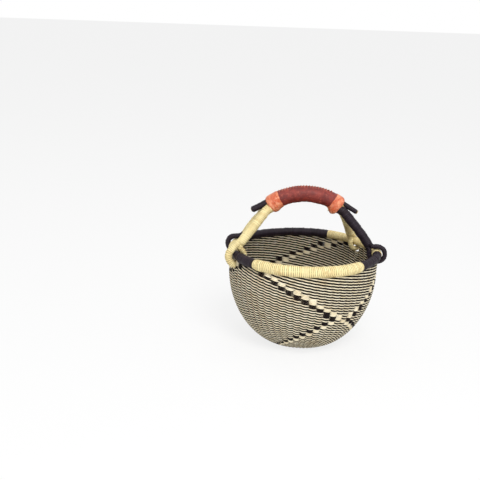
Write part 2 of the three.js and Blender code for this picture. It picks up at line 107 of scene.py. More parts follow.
# Stakes, and steps in straw coordinates: from one woven straw to the next, and from winding to winding
STAKES = 60
STAKE_SHIFT = math.radians(-0.7)
STRAWS_APART = 100
WINDINGS_APART = 1000


# Small maths

RIPPLE_WAVES = 6
RIPPLE_PACES = (0.6, 1.6)


def unit(v):
    return v / np.linalg.norm(v, axis=-1, keepdims=True)


def smooth(x):
    x = np.clip(x, 0, 1)
    return x * x * (3 - 2 * x)


def hump(x):
    """1 at zero, falling off to both sides over about 1."""
    return np.exp(-(x**2))


def wrapped(angle):
    """The same angle between minus and plus half a turn."""
    return np.arctan2(np.sin(angle), np.cos(angle))


def round_angles(sides, extra=0):
    """Directions of the corners of a section, and of extra ones that start the next round."""
    return np.arange(sides + extra) / sides * FULL_TURN


def angle_round(angle):
    """A direction as a value that comes back to itself after a full turn."""
    return np.sin(angle) * 1.3 + np.cos(angle)


def turned(v, axis, angle):
    """v turned about a unit axis."""
    along = axis * (axis @ v)
    return v * math.cos(angle) + np.cross(axis, v) * math.sin(angle) + along * (1 - math.cos(angle))


def ripple(x, y, seed):
    """Smooth bumps of about +-1 over two coordinates."""
    pick = np.random.default_rng(seed)
    total = 0
    for _ in range(RIPPLE_WAVES):
        way = pick.uniform(0, FULL_TURN)
        pace = pick.uniform(*RIPPLE_PACES)
        start = pick.uniform(0, FULL_TURN)
        total = total + np.sin(pace * (x * math.cos(way) + y * math.sin(way)) + start)
    return total / math.sqrt(RIPPLE_WAVES)


# Meshes


class Piece:
    """Gathers tubes of points into one mesh. Each brings straw coordinates: along and across."""

    def __init__(self):
        self.points, self.faces, self.uvs, self.kinds = [], [], [], []
        self.count = 0

    def tube(self, points, uv, ring=False, kinds=0):
        """points (rows, sides, 3) and uv (rows + 1, sides + 1, 2). A tube that is no ring gets two caps."""
        rows, sides = points.shape[:2]
        index = np.arange(rows * sides).reshape(rows, sides) + self.count
        last_row = rows if ring else rows - 1
        r = np.arange(last_row)[:, None]
        s = np.arange(sides)[None, :]
        r2, s2 = (r + 1) % rows, (s + 1) % sides
        quads = np.stack([index[r, s], index[r2, s], index[r2, s2], index[r, s2]], axis=-1)
        corners = np.stack([uv[r, s], uv[r + 1, s], uv[r + 1, s + 1], uv[r, s + 1]], axis=2)
        kind = np.broadcast_to(kinds, (last_row, sides)).ravel()
        self.points.append(points.reshape(-1, 3))
        self.faces += quads.reshape(-1, 4).tolist()
        self.uvs.append(corners.reshape(-1, 2))
        self.kinds.append(kind)
        if not ring:
            self.faces += [index[0][::-1].tolist(), index[-1].tolist()]
            self.uvs += [uv[0, :sides][::-1], uv[-1, :sides]]
            self.kinds.append(kind[[0, -1]])
        self.count += rows * sides

    def make(self, name, body, slot, materials, nodes):
        mesh = bpy.data.meshes.new(name)
        mesh.from_pydata(np.concatenate(self.points) * MM, [], self.faces)
        mesh.polygons.foreach_set("use_smooth", np.ones(len(mesh.polygons), bool))
        mesh.polygons.foreach_set("material_index", np.concatenate(self.kinds).astype(np.int32))
        layer = mesh.uv_layers.new(name="straw")
        layer.data.foreach_set("uv", np.concatenate(self.uvs).astype(np.float32).ravel())
        for material in materials:
            mesh.materials.append(material)
        mesh.update()
        obj = bpy.data.objects.new(name, mesh)
        bpy.context.scene.collection.objects.link(obj)
        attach(obj, body)
        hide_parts(*nodes)


class Line:
    """A smooth path through dense points, with a frame carried along it."""

    def __init__(self, points, hint):
        points = np.asarray(points, float)
        step = np.linalg.norm(np.diff(points, axis=0), axis=1)
        points = points[np.concatenate([[True], step > 1e-6])]
        step = np.linalg.norm(np.diff(points, axis=0), axis=1)
        self.at = np.concatenate([[0], np.cumsum(step)])
        self.length = self.at[-1]
        self.points = points
        self.tangent = unit(np.gradient(points, self.at, axis=0))
        normal = unit(hint - self.tangent[0] * (hint @ self.tangent[0]))
        normals = [normal]
        for t in self.tangent[1:]:
            normal = unit(normal - t * (normal @ t))
            normals.append(normal)
        self.normal = np.array(normals)
        self.side = np.cross(self.tangent, self.normal)

    def pick(self, values, s):
        return np.stack([np.interp(s, self.at, values[:, k]) for k in range(3)], axis=-1)

    def ring(self, s, turn, radius):
        """Points at distance s along, angle turn about and radius from the line."""
        s, turn, radius = np.broadcast_arrays(s, turn, radius)
        beyond = s - np.clip(s, 0, self.length)
        centre = self.pick(self.points, s) + self.pick(self.tangent, s) * beyond[..., None]
        normal = unit(self.pick(self.normal, s))
        side = unit(self.pick(self.side, s))
        out = normal * np.cos(turn)[..., None] + side * np.sin(turn)[..., None]
        return centre + out * radius[..., None]


def straw_uv(along, across):
    """Straw coordinates of a tube, with the last row once more."""
    uv = np.stack(np.broadcast_arrays(along, across), axis=-1)
    return np.concatenate([uv, uv[-1:]])


def sheet_uv(s, sides, radius):
    return straw_uv(s[:, None], round_angles(sides, 1) * radius)


# Materials


def srgb(r, g, b):
    def one(v):
        v /= 255
        return v / 12.92 if v <= 0.04045 else ((v + 0.055) / 1.055) ** 2.4

    return (one(r), one(g), one(b), 1.0)


class Tree:
    """Short ways to build nodes."""

    def __init__(self, tree):
        self.tree = tree
        tree.nodes.clear()

    def put(self, socket, value):
        if isinstance(value, bpy.types.NodeSocket):
            self.tree.links.new(value, socket)
        else:
            socket.default_value = value

    def node(self, kind, inputs=None, **settings):
        made = self.tree.nodes.new(kind)
        for key, value in settings.items():
            setattr(made, key, value)
        for key, value in (inputs or {}).items():
            self.put(made.inputs[key], value)
        return made

    def maths(self, operation, *values):
        return self.node("ShaderNodeMath", dict(enumerate(values)), operation=operation).outputs[0]

    def times(self, a, b):
        return self.maths("MULTIPLY", a, b)

    def plus(self, a, b):
        return self.maths("ADD", a, b)

    def mix(self, share, a, b, kind="MIX"):
        made = self.node("ShaderNodeMix", data_type="RGBA", blend_type=kind)
        self.put(made.inputs[0], share)
        self.put(made.inputs[6], a)
        self.put(made.inputs[7], b)
        return made.outputs[2]

    def ramp(self, value, low, high, a=0.0, b=1.0):
        inputs = {"Value": value, "From Min": low, "From Max": high, "To Min": a, "To Max": b}
        return self.node("ShaderNodeMapRange", inputs, interpolation_type="SMOOTHSTEP").outputs[0]

    def noise(self, vector, scale=1.0, detail=2.0, roughness=0.5):
        inputs = {"Vector": vector, "Scale": scale, "Detail": detail, "Roughness": roughness}
        return self.node("ShaderNodeTexNoise", inputs).outputs["Fac"]

    def streaks(self, along, across, paces, detail=1.0, roughness=0.5):
        """Noise that changes at one pace along a straw and at another across it."""
        inputs = {"X": self.times(along, paces[0]), "Y": self.times(across, paces[1]), "Z": 0.0}
        return self.noise(self.node("ShaderNodeCombineXYZ", inputs).outputs[0], 1.0, detail, roughness)

    def seen_rays(self):
        """1 for the rays by which the camera sees the stage, directly or in something shiny or clear."""
        rays = self.node("ShaderNodeLightPath").outputs
        seen = self.maths("MAXIMUM", rays["Is Camera Ray"], rays["Is Glossy Ray"])
        return self.maths("MAXIMUM", seen, rays["Is Transmission Ray"])


class Surface(Tree):
    """A material with one principled shader."""

    def __init__(self, name):
        self.material = bpy.data.materials.new(name)
        self.material.use_nodes = True
        super().__init__(self.material.node_tree)
        self.out = self.node("ShaderNodeOutputMaterial")
        self.shader = self.node("ShaderNodeBsdfPrincipled")
        self.put(self.out.inputs["Surface"], self.shader.outputs["BSDF"])

    def straw(self):
        """The straw coordinates: along and across."""
        made = self.node("ShaderNodeUVMap", uv_map="straw")
        split = self.node("ShaderNodeSeparateXYZ", {"Vector": made.outputs[0]})
        return split.outputs["X"], split.outputs["Y"]

    def object_place(self):
        return self.node("ShaderNodeTexCoord").outputs["Object"]

    def place(self, scale):
        inputs = {0: self.object_place(), 1: (scale,) * 3}
        return self.node("ShaderNodeVectorMath", inputs, operation="MULTIPLY").outputs[0]

    def between_stakes(self):
        """1 where two straws cross halfway between two stakes: the mask of the painted shade in the
        crossings.
        """
        split = self.node("ShaderNodeSeparateXYZ", {"Vector": self.object_place()})
        direction = self.maths("ARCTAN2", split.outputs["Y"], split.outputs["X"])
        angle = self.maths("SUBTRACT", direction, STAKE_SHIFT)
        wave = self.maths("COSINE", self.times(angle, float(STAKES)))
        return self.ramp(wave, -0.3, -1.0)

    def done(self, colour, roughness, gloss, height, strength, depth):
        """Sets the shader: colour, roughness, share of shine, and a bump of some strength and depth."""
        bump = self.node("ShaderNodeBump", {"Height": height, "Strength": strength, "Distance": depth})
        self.put(self.shader.inputs["Normal"], bump.outputs[0])
        self.put(self.shader.inputs["Base Color"], colour)
        self.put(self.shader.inputs["Roughness"], roughness)
        self.put(self.shader.inputs["Specular IOR Level"], gloss)
        return self.material


STRAW_BUMP = 0.0004
LEATHER_BUMP = 0.0005
# Colour of the painted shade in the crossings between stakes
CROSSING_SHADE_TINT = (0.16, 0.11, 0.08, 1)


def wound_straw(name, pale, deep, stain, gap_shade, rough, gloss=0.4):
    """Straw of a winding. Across counts its turns, each with a tone of its own and painted shade in the gaps
    beside it.
    """
    n = Surface(name)
    along, number = n.straw()
    which = n.maths("FLOOR", number)
    across = n.maths("FRACT", number)
    tone = n.node("ShaderNodeTexWhiteNoise", {"W": which}, noise_dimensions="1D").outputs["Value"]
    fibre = n.streaks(along, number, (0.09, 9.0), detail=3.0, roughness=0.6)
    patch = n.noise(n.place(55.0))
    share = n.plus(n.times(tone, 0.25), n.times(fibre, 0.75))
    colour = n.mix(n.ramp(share, 0.25, 1.0), pale, deep)
    colour = n.mix(n.ramp(patch, 0.5, 0.78, 0.0, 0.55), colour, stain)
    # Painted shade: each turn darkens towards its edges, in broken dashes, where the gaps between turns are
    from_middle = n.times(n.maths("ABSOLUTE", n.maths("SUBTRACT", across, 0.5)), 2.0)
    dash = n.streaks(along, which, (0.3, 5.3))
    shade = n.times(n.ramp(from_middle, 0.6, 0.95), n.ramp(dash, 0.35, 0.62, 0.35, 1.0))
    colour = n.mix(shade, colour, gap_shade)
    roughness = n.ramp(fibre, 0.2, 0.8, rough, rough + 0.22)
    return n.done(colour, roughness, gloss, fibre, 0.35, STRAW_BUMP)


def woven_straw(name, pale, deep, stain, rough, crossing_shade=0.0, gloss=0.35):
    """Twisted straw, with fibres that run slantwise and a tone that changes slowly from straw to straw."""
    n = Surface(name)
    along, around = n.straw()
    twist = n.plus(n.times(along, 0.35), around)
    fibre = n.streaks(along, twist, (0.12, 2.2), detail=3.0, roughness=0.6)
    tone = n.streaks(along, n.maths("FLOOR", n.times(around, 1 / STRAWS_APART)), (0.05, 3.7))
    patch = n.noise(n.place(30.0))
    share = n.plus(n.times(tone, 0.6), n.times(fibre, 0.6))
    colour = n.mix(n.ramp(share, 0.3, 0.9), pale, deep)
    colour = n.mix(n.ramp(patch, 0.5, 0.8, 0.0, 0.5), colour, stain)
    # Painted shade: the weave is darkened where the straws cross between stakes
    shaded_colour = n.mix(1.0, colour, CROSSING_SHADE_TINT, "MULTIPLY")
    colour = n.mix(n.times(n.between_stakes(), crossing_shade), colour, shaded_colour)
    roughness = n.ramp(fibre, 0.2, 0.8, rough, rough + 0.2)
    return n.done(colour, roughness, gloss, fibre, 0.4, STRAW_BUMP)


def leather(name, deep, pale, worn, rough, grain, wear=0.6):
    """Leather with pores, a cloudy tone and rubbed places."""
    n = Surface(name)
    place = n.place(1.0)
    cells = n.node("ShaderNodeTexVoronoi", {"Vector": place, "Scale": grain}, feature="DISTANCE_TO_EDGE")
    cloud = n.noise(place, 75.0, 4.0, 0.6)
    rub = n.noise(place, 260.0, 3.0, 0.6)
    colour = n.mix(n.ramp(cloud, 0.35, 0.7), deep, pale)
    colour = n.mix(n.ramp(rub, 0.56, 0.75, 0.0, wear), colour, worn)
    height = n.plus(n.ramp(cells.outputs["Distance"], 0.0, 0.12), n.times(rub, 0.8))
    roughness = n.ramp(rub, 0.3, 0.75, rough - 0.08, rough + 0.14)
    return n.done(colour, roughness, 0.5, height, 0.45, LEATHER_BUMP)


NATURAL = wound_straw("natural_straw", srgb(250, 236, 180), srgb(208, 178, 108), stain=srgb(194, 154, 88),
                      gap_shade=srgb(92, 62, 28), rough=0.5)
BLACK = wound_straw("black_straw", srgb(44, 33, 44), srgb(17, 11, 16), stain=srgb(38, 26, 26),
                    gap_shade=srgb(2, 1, 2), rough=0.34, gloss=0.2)
WEFT_PALE = woven_straw("weft_natural", srgb(255, 248, 224), srgb(238, 220, 180), stain=srgb(216, 190, 142),
                        rough=0.55, crossing_shade=0.1)
WEFT_DARK = woven_straw("weft_black", srgb(30, 19, 16), srgb(12, 7, 7), stain=srgb(38, 22, 16), rough=0.5,
                        gloss=0.15)
CORE = woven_straw("core_straw", srgb(206, 184, 128), srgb(168, 140, 88), stain=srgb(150, 120, 74),
                   rough=0.6)
RED = leather("red_leather", srgb(102, 22, 15), srgb(142, 47, 35), worn=srgb(188, 98, 80), rough=0.46,
              grain=900.0)
ORANGE = leather("orange_leather", srgb(202, 90, 50), srgb(244, 162, 120), worn=srgb(255, 214, 188),
                 rough=0.3, grain=700.0, wear=0.5)
LACE = leather("lace_leather", srgb(170, 84, 66), srgb(204, 124, 98), worn=srgb(226, 158, 130),
               rough=0.5, grain=1200.0)


# Windings

# Where the rows of points of a rib are and how high, as shares of its width and height
RIB_COLUMN_SHARES = np.array([0.0, 0.13, 0.36, 0.64, 0.87])
RIB_HEIGHT_SHARES = np.array([0.0, 0.72, 1.0, 0.96, 0.66])
RIB_WIDTH_SHARES = (0.78, 1.22)

# A second, smaller lean of the ribs, the length of its waves, and the length at both ends without lean
SECOND_LEAN = 0.25
LEAN_WAVE = 9.0
LEAN_EASE = 5.0

# Waves of the rough surface along and about, and what is left of the section at a rounded tip
ROUGH_WAVE = 2.5
ROUGH_TURNS = 1.5
TIP_SHARE = 0.02


def wound(name, body, black, line, radius, seed, winding, pitch, rib, sides, slant, rough=0.12,
          start_round=0.0, end_round=0.0, clamp=None, node=None):
    """A straw wound round a line, as ribs of uneven width that lean a little, in place of a node. radius
    gives the size by distance along, winding its number, clamp the side of y where it stays and how far."""
    pick = np.random.default_rng(seed)
    widths = pick.uniform(*RIB_WIDTH_SHARES, max(2, round(line.length / pitch)))
    widths *= line.length / widths.sum()
    starts = np.concatenate([[0], np.cumsum(widths)])
    s = (starts[:-1, None] + widths[:, None] * RIB_COLUMN_SHARES).ravel()
    height = np.tile(RIB_HEIGHT_SHARES, len(widths))
    lift = height * rib
    lift += np.repeat(pick.normal(0, rough, len(widths)), len(RIB_COLUMN_SHARES)) * height
    ids = (np.arange(len(widths))[:, None] + RIB_COLUMN_SHARES).ravel()
    s, lift, ids = np.append(s, line.length), np.append(lift, 0), np.append(ids, len(widths) - 0.001)
    turn = round_angles(sides)
    lean = slant * np.cos(turn - pick.uniform(0, FULL_TURN))
    lean = lean + SECOND_LEAN * np.sin(2 * turn + s[:, None] / LEAN_WAVE)
    where = s[:, None] + lean * smooth(np.minimum(s, line.length - s) / LEAN_EASE)[:, None]
    size = (radius(s) + lift - rib)[:, None]
    size = size + rough * ripple(where / ROUGH_WAVE, turn * ROUGH_TURNS, seed + 1)
    for reach, gone in ((start_round, s), (end_round, line.length - s)):
        if reach > 0:
            left = 1 - np.clip(gone / reach, 0, 1)
            size = size * np.sqrt(np.clip(1 - left**2, TIP_SHARE, 1))[:, None]
    points = line.ring(where, turn, size)
    if clamp is not None:
        side, least = clamp
        points[..., 1] = np.where(points[..., 1] * side < least, side * least, points[..., 1])
    piece = Piece()
    across = ids[:, None] + winding * WINDINGS_APART
    piece.tube(points, straw_uv(round_angles(sides, 1) * float(np.mean(size)), across))
    slot, material = ("black_straw", BLACK) if black else ("natural_straw", NATURAL)
    piece.make(name + "_straw", body, slot, [material], [node or name])


# Wall surface

# How far under the shoulder the first full row starts, and how uneven the wall is: it grows from a distance
# up the wall over a length
ROWS_UNDER_SHOULDER = 0.6
UNEVEN = 0.45
UNEVEN_FROM = 70
UNEVEN_OVER = 60

# How far from an eyelet the rows part, and how much they may be squeezed
PARTING_REACH = 30
TIGHTEST_SHARE = 0.45


def wall_profile():
    """The wall's middle from the axis to the rim: distance along, radius, height and outward normal."""
    foot = np.linspace(0, BASE_RADIUS, 60)[:-1]
    height = BELLY_HEIGHT * np.linspace(0, 1, 260) ** 2
    flare = (1 - (1 - height / BELLY_HEIGHT) ** 2) ** FOOT_ROUNDNESS
    radius = BASE_RADIUS + (BELLY_RADIUS - BASE_RADIUS) * flare
    above = np.linspace(BELLY_HEIGHT, SHOULDER_HEIGHT, 30)[1:]
    share = (above - BELLY_HEIGHT) / (SHOULDER_HEIGHT - BELLY_HEIGHT)
    upper = BELLY_RADIUS - (BELLY_RADIUS - SHOULDER_RADIUS) * share**2
    r = np.concatenate([foot, radius, upper])
    z = np.concatenate([0 * foot, height, above])
    dr, dz = np.gradient(r), np.gradient(z)
    size = np.hypot(dr, dz)
    normal_r, normal_z = dz / size, -dr / size
    r, z = r - normal_r * WALL / 2, z - normal_z * WALL / 2
    r[0] = 0
    steps = 12
    r = np.concatenate([r, np.full(steps, RIM_RADIUS)])
    z = np.concatenate([z, z[-1] + np.linspace(LIP_HEIGHT / steps, LIP_HEIGHT, steps)])
    normal_r = np.concatenate([normal_r, np.ones(steps)])
    normal_z = np.concatenate([normal_z, np.zeros(steps)])
    s = np.concatenate([[0], np.cumsum(np.hypot(np.diff(r), np.diff(z)))])
    return s, r, z, normal_r, normal_z


WALL_S, WALL_R, WALL_Z, WALL_NR, WALL_NZ = wall_profile()
WALL_TOP = WALL_S[-1]
SHOULDER_S = float(np.interp(SHOULDER_HEIGHT - ROWS_UNDER_SHOULDER, WALL_Z, WALL_S))


def bulge_at(angle, height):
    near = hump(wrapped(angle - BULGE_AZIMUTH) / BULGE_WIDTH)
    above = np.clip((height - BELLY_HEIGHT) / (SHOULDER_HEIGHT - BELLY_HEIGHT), 0, 1)
    return RIM_BULGE * near * above**2


def wall_point(angle, s, out):
    """A point at a direction, a distance up the wall and a distance out from its middle."""
    radius = np.interp(s, WALL_S, WALL_R) + np.interp(s, WALL_S, WALL_NR) * out
    height = np.interp(s, WALL_S, WALL_Z) + np.interp(s, WALL_S, WALL_NZ) * out
    radius = radius + bulge_at(angle, height)
    full = np.clip((s - UNEVEN_FROM) / UNEVEN_OVER, 0, 1)
    radius = radius + full * UNEVEN * ripple(angle_round(angle) * 2, s / UNEVEN_OVER, 3)
    return np.stack([radius * np.cos(angle), radius * np.sin(angle), height], axis=-1)


def from_eyelet(angle, s, azimuth, height):
    """Distances from the middle of an opening: round the wall and up it."""
    return wrapped(angle - math.radians(azimuth)) * RIM_RADIUS, s - np.interp(height, WALL_Z, WALL_S)


def parted(angle, s):
    """Moves rows apart at the openings: the new distances up the wall, and how much they are squeezed."""
    squeeze = np.ones_like(s)
    for azimuth, height, half, width in EYELETS:
        u, v = from_eyelet(angle, s, azimuth, height)
        opening = half * np.sqrt(np.clip(1 - (u / width) ** 2, 0, 1))
        near = np.abs(v) < PARTING_REACH
        moved = np.sign(v) * np.sqrt(v**2 + opening**2)
        tight = np.where(opening > 0, np.abs(v) / np.maximum(np.abs(moved), 1e-6), 1)
        s = np.where(near, np.interp(height, WALL_Z, WALL_S) + moved, s)
        squeeze = np.where(near, np.minimum(squeeze, np.clip(tight, TIGHTEST_SHARE, 1)), squeeze)
    return s, squeeze


# Weave

# Heights of the rows at the top and low down, and from which depth they grow over which length
TOP_ROW = 2.5
LOW_ROW = 3.0
GROW_FROM = 50
GROW_OVER = 60

# Points along a straw per stake, points round its section and its turn, and the most faces in one piece
SAMPLES = 6
SECTION = 6
SECTION_TURN = 0.3
BAND_FACES = 96000

# Rows hidden in the rim, the hole at the centre and the gaps under the top of the wall
ROWS_IN_RIM = 2
CENTRE_HOLE = 2.4
ROW_TOP_GAP = 1.0
STAKE_TOP_GAP = 1.5

# A straw swings out past one stake and in past the next, crosses the other one in between, and is taller
# and thicker at the stakes. Where there are few stakes near the centre it swings less
SWING = 1.75
SWING_POWER = 0.8
RISE = 0.94
TALL = 0.93
TALLER = 0.31
DEEP = 1.12
THINNER = 0.22
DARK_WIDER = 1.15
UNEVEN_STRAW = 0.06
ROW_WANDER = 0.5
SMALL_RADIUS = 30

# How many stakes there are within a radius, and at which radius every nth one starts
STAKES_WITHIN = ((11, 8), (27, 16), (57, 30))
STAKE_STARTS = ((8, 6.0), (4, 14.0), (2, 30.0), (1, 60.0))
STAKE_STEP = 4
STAKE_WIDTH = 1.5
STAKE_DEPTH = 0.62
STAKE_CLEAR = 1.4

# Rows of each check down a line: at the front, at the back, and where the back one starts at the rim
FRONT_CHECKS = [3, 2, 3, 2, 3, 3, 4, 3, 3, 4, 4] + [3] * 10
BACK_CHECKS = [3, 2, 3, 2, 2, 2] + [3] * 15
BACK_START = [2, 2, 3]

# Lines of checks: their rows, the first row and stake, which way they go, the check after which they go
# back, and the side of the pale checks
CHECK_LINES = (
    (FRONT_CHECKS, 0, 39, 1, 10, 1),
    (FRONT_CHECKS, 0, 63, -1, 11, -1),
    (BACK_CHECKS, 4, 11, 1, 10, 1),
    (BACK_CHECKS, 0, 35, -1, 11, -1),
    (BACK_START, -1, 9, 1, 10, -1),
)


def row_height(depth):
    """How tall a row is at a depth under the rim: the straws are thicker lower down."""
    return TOP_ROW + (LOW_ROW - TOP_ROW) * float(smooth((depth - GROW_FROM) / GROW_OVER))


def check_cells():
    """Rows and stakes that show a black check, with the sides that a pale check is on."""
    cells = {}
    for counts, row, first, way, turn, side in CHECK_LINES:
        for i, count in enumerate(counts):
            stake = first + way * (turn - abs(turn - i))
            for each in range(row, row + count):
                cells.setdefault((each, stake % STAKES), set()).add(side)
            row += count
    return cells


CHECKS = check_cells()


def is_dark(row, stake, count):
    """The colour that shows outside where a row crosses one of its stakes. Rows are counted from the rim."""
    if count == STAKES:
        if (row, stake) in CHECKS:
            return True
        if any(side in CHECKS.get((row, (stake - side) % STAKES), ()) for side in (1, -1)):
            return False
    return (row + stake) % 2 == 0


def stakes_at(radius):
    return next((count for limit, count in STAKES_WITHIN if radius < limit), STAKES)


def weave_row(piece, s, row, number, height):
    """One ring of two straws twisted about each other, each passing outside every other stake."""
    tall_by = height / TOP_ROW
    radius = float(np.interp(s, WALL_S, WALL_R))
    count = stakes_at(radius)
    steps = count * SAMPLES
    t = np.arange(steps) / SAMPLES - 0.5
    angle = t * FULL_TURN / count + STAKE_SHIFT
    wander = ROW_WANDER * ripple(angle_round(angle) * 3, s / 50, 11) * smooth((s - 40) / 60)
    middle, squeeze = parted(angle, s + wander)
    slim = min(1.0, radius / SMALL_RADIUS)
    beta = round_angles(SECTION) + SECTION_TURN
    along = (np.arange(steps + 1) * FULL_TURN / steps * radius)[:, None]
    darks = [is_dark(row, stake, count) for stake in range(count)]
    for strand in (0, 1):
        phase = math.pi * (t + strand)
        c, q = np.cos(phase), np.sin(phase)
        out = SWING * np.sign(c) * np.abs(c) ** SWING_POWER
        rise = -RISE * q * tall_by
        wider = DARK_WIDER if strand == row % 2 else 2 - DARK_WIDER
        tall = (TALL + TALLER * np.abs(c)) * tall_by * wider
        deep = DEEP - THINNER * np.abs(q)
        uneven = 1 + UNEVEN_STRAW * ripple(t * 1.7, number * 3.1 + strand, 29)
        up = middle[:, None] + (rise * squeeze)[:, None] + (tall * squeeze * uneven)[:, None] * np.sin(beta)
        away = out[:, None] * (0.55 + 0.45 * slim) + (deep * uneven)[:, None] * np.cos(beta)
        points = wall_point(angle[:, None], np.clip(up, 0.2, WALL_TOP), away)
        kinds = np.repeat([dark == ((stake + strand) % 2 == 0) for stake, dark in enumerate(darks)], SAMPLES)
        across = np.arange(SECTION + 1) / SECTION * 7.0 + (number * 2 + strand) * STRAWS_APART
        piece.tube(points, straw_uv(along, across)[:-1], ring=True, kinds=kinds[:, None])
    return steps * 2 * SECTION


def make_weave():
    rows, row, depth = [], -ROWS_IN_RIM, -ROWS_IN_RIM * TOP_ROW
    while SHOULDER_S - depth > CENTRE_HOLE:
        height = row_height(depth)
        middle = SHOULDER_S - depth - height / 2
        if middle < WALL_TOP - ROW_TOP_GAP:
            rows.append((middle, row, height))
        row, depth = row + 1, depth + height
    most_in_row = STAKES * SAMPLES * SECTION * 2
    piece, faces, band = Piece(), 0, 1
    for number, (s, row, height) in enumerate(rows[::-1]):
        faces += weave_row(piece, s, row, number, height)
        if faces > BAND_FACES - most_in_row or number == len(rows) - 1:
            name = f"weave_band_{band}"
            piece.make(name, "bowl", "striped_straw", [WEFT_PALE, WEFT_DARK], ["woven_bowl"])
            piece, faces, band = Piece(), 0, band + 1


def make_stakes():
    piece = Piece()
    sides = 8
    beta = round_angles(sides)
    for stake in range(STAKES):
        start = next(radius for every, radius in STAKE_STARTS if stake % every == 0)
        begin = float(np.interp(start, WALL_R, WALL_S))
        s = np.linspace(begin, WALL_TOP - STAKE_TOP_GAP, int((WALL_TOP - begin) / STAKE_STEP))
        angle = np.full_like(s, stake * FULL_TURN / STAKES + STAKE_SHIFT)
        for azimuth, height, half, width in EYELETS:
            # A stake goes round an opening rather than through it
            u, v = from_eyelet(angle, s, azimuth, height)
            need = (width * 0.75 + STAKE_CLEAR) * np.exp(-((v / (half * 1.8)) ** 4))
            push = np.where(np.abs(u) < need, (need - np.abs(u)) * np.where(u < 0, -1, 1), 0)
            angle = angle + push / RIM_RADIUS
        radius = np.interp(s, WALL_S, WALL_R)
        wide = np.minimum(STAKE_WIDTH, radius * 0.03 + 0.5)
        turn = angle[:, None] + wide[:, None] * np.cos(beta) / radius[:, None]
        points = wall_point(turn, s[:, None], STAKE_DEPTH * np.sin(beta))
        uv = straw_uv(s[:, None], np.arange(sides + 1) / sides * 6 + stake * STRAWS_APART)
        piece.tube(points[::-1], uv)
    piece.make("stakes", "bowl", "striped_straw", [CORE], ["woven_bowl"])


# Rim

RIM_STYLE = dict(pitch=3.3, rib=0.42, sides=28)
RIM_OVER = 0.15
RIM_GAP = 0.1
RIM_SAG = 0.35

# The natural winding at the back right is thicker at its start, and begins on the end of the black one
THICK_START = 1.15
THICK_LEAD = 13.0
THICK_UNTIL = 34
THICK_EASE = 16

# The black winding at the left gets thicker after its start
LEFT_UNDER = 0.1
LEFT_THICKER = 1.4
LEFT_FROM = 17
LEFT_EASE = 8

# The front one rises from a lower shoulder at both ends
SHOULDER_STEP = 0.7
SHOULDER_LENGTH = 7.0


def rim_size(name, radius, length):
    """The radius of a rim wrap, by the distance along it."""
    if name == "rim_wrap_back_right":
        return lambda s: radius + RIM_OVER + THICK_START * smooth((THICK_UNTIL - s) / THICK_EASE)
    if name == "rim_wrap_left":
        return lambda s: radius - LEFT_UNDER + LEFT_THICKER * smooth((s - LEFT_FROM) / LEFT_EASE)
    if radius == THIN_RIM:
        return lambda s: radius + RIM_OVER
    low = THIN_RIM + SHOULDER_STEP
    rise = radius + RIM_OVER - THIN_RIM - SHOULDER_STEP
    return lambda s: low + rise * smooth(np.minimum(s, length - s) / SHOULDER_LENGTH)


def make_rim():
    total = sum(share for _, share, _, _ in RIM_PLAN)
    start = RIM_START
    gap = RIM_GAP / RIM_RADIUS
    for number, (name, share, radius, black) in enumerate(RIM_PLAN):
        end = start + FULL_TURN * share / total
        angle = np.linspace(start + gap, end - gap, 240)
        reach = RIM_RADIUS + bulge_at(angle, RIM_HEIGHT)
        sag = RIM_SAG * ripple(angle_round(angle) * 3, 0, 41)
        points = np.stack([reach * np.cos(angle), reach * np.sin(angle), RIM_HEIGHT + sag], axis=-1)
        line = Line(points, np.array([math.cos(start), math.sin(start), 0.0]))
        size = rim_size(name, radius, line.length)
        if name == "rim_wrap_right":
            # The thick natural winding behind it starts over its last stretch
            length = line.length - THICK_LEAD
            last = Line(line.points[line.at >= length], line.normal[0])
            line = Line(line.points[line.at <= length], line.normal[0])
            wound(name + "_end", "bowl", False, last,
                  lambda s: THIN_RIM + RIM_OVER + THICK_START * smooth(s / 3 + 0.4), 120 + number,
                  number + 0.5, slant=0.3, rough=0.1, node=name, **RIM_STYLE)
        wound(name, "bowl", black, line, size, 100 + number, number, slant=0.7,
              rough=0.2 if black else 0.1, **RIM_STYLE)
        start = end


# Handle paths, as the solids have them

# Handles of a leg's curve at its top and neck, and of an arm's curve, as shares of the length they span
LEG_TOP_SHARE = 0.2
LEG_NECK_SHARE = 0.32
ARM_SHARE = 0.4
INNER_JOIN = 80
STRAND_STEPS = 24
NECK_STEPS = 10
LOOP_STEPS = 28
GRIP_STEPS = 30
TAIL_STEPS = 16


def outward_at(angle):
    a = angle + GRIP_TURN
    return np.array([math.sin(a), 0.0, math.cos(a)])


def along_at(angle):
    a = angle + GRIP_TURN
    return np.array([math.cos(a), 0.0, -math.sin(a)])


def grip_point(angle):
    return GRIP_CENTRE + outward_at(angle) * GRIP_ARC


def strand_point(place, angle):
    """Where a turn of the rope runs in the grip: the turns twist round each other by one place."""
    turn = (angle + GRIP_ANGLE) / (2 * GRIP_ANGLE)
    about = (place + turn) / STRANDS * FULL_TURN
    out = grip_point(angle) + outward_at(angle) * BUNDLE_RADIUS * math.cos(about)
    return out + FRONT * BUNDLE_RADIUS * math.sin(about)


def tilted_from_grip(side, degrees):
    return turned(along_at(side * GRIP_ANGLE) * side, FRONT, side * math.radians(degrees))


def bezier(points, t):
    a, b, c, d = points
    u = 1 - t
    return a * u**3 + b * 3 * u * u * t + c * 3 * u * t * t + d * t**3


